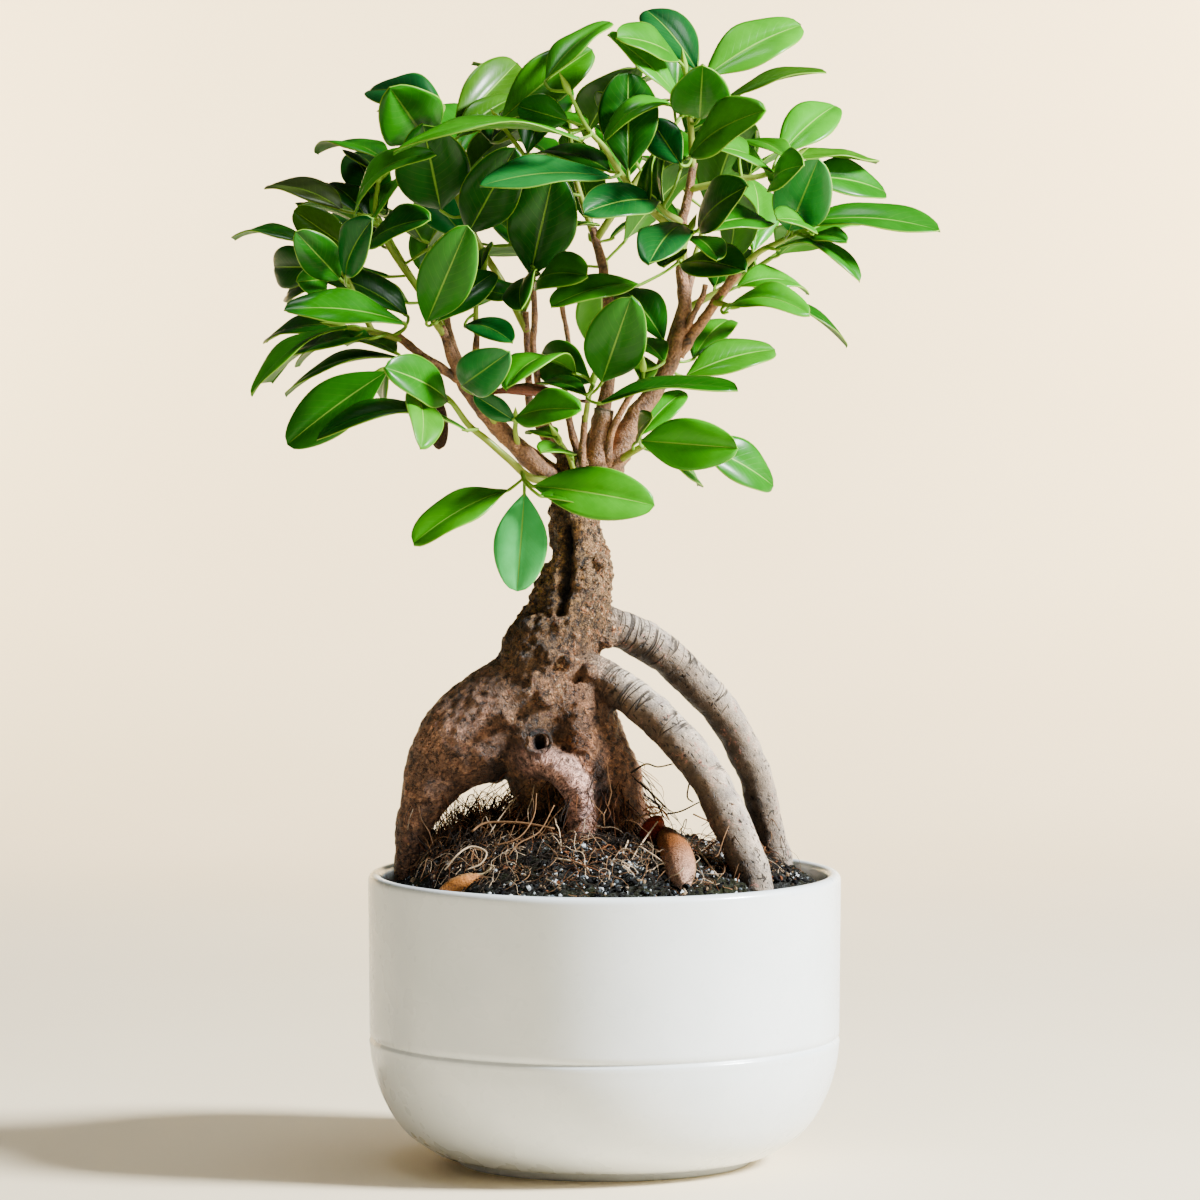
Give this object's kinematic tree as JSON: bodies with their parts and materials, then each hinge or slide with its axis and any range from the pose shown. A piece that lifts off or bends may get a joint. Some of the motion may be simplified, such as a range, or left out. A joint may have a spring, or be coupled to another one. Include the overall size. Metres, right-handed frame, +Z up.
{
  "type": "bonsai tree in a pot",
  "caption": "Small fig bonsai with a swollen bare trunk on stilt roots and a crown of glossy oval leaves, potted in a round glazed bowl; a live indoor plant for decoration",
  "frame": {"origin": "centre of the pot's flat foot, on the table", "axes": "+Z up along the pot's axis, X to the right and -Y towards the viewer of the picture"},
  "size_m": [0.2381, 0.1931, 0.3897],
  "materials": {
    "glaze": "glossy cool white glaze",
    "soil": "dark gritty potting soil with fibres",
    "bark": "smooth grey-brown root bark, rough brown wood above",
    "leaf": "glossy green living leaf",
    "dry": "dull dried brown leaf"
  },
  "bodies": {
    "root": {"dry_leaf_hanging": "dry", "dry_leaf_on_soil": "dry", "dry_scale": "dry", "dry_sheath": "dry", "pot": "glaze", "root_husk": "dry", "shoot_back_left": "leaf", "shoot_back_left_side": "leaf", "shoot_back_middle": "leaf", "shoot_back_right": "leaf", "shoot_back_right_side": "leaf", "shoot_back_top": "leaf", "shoot_back_top_right": "leaf", "shoot_centre_low": "leaf", "shoot_centre_stub": "leaf", "shoot_centre_twig": "leaf", "shoot_fork": "leaf", "shoot_front_left": "leaf", "shoot_left_low": "leaf", "shoot_left_mid": "leaf", "shoot_left_out": "leaf", "shoot_left_top": "leaf", "shoot_left_up": "leaf", "shoot_mid_left": "leaf", "shoot_mid_low": "leaf", "shoot_mid_sprout": "leaf", "shoot_mid_wand": "leaf", "shoot_right_arm": "leaf", "shoot_right_behind": "leaf", "shoot_right_centre": "leaf", "shoot_right_low": "leaf", "shoot_right_mid": "leaf", "shoot_right_out": "leaf", "shoot_right_up": "leaf", "shoot_top": "leaf", "shoot_top_left": "leaf", "shoot_top_middle": "leaf", "soil": "soil", "trunk": "bark"}
  },
  "joints": []
}
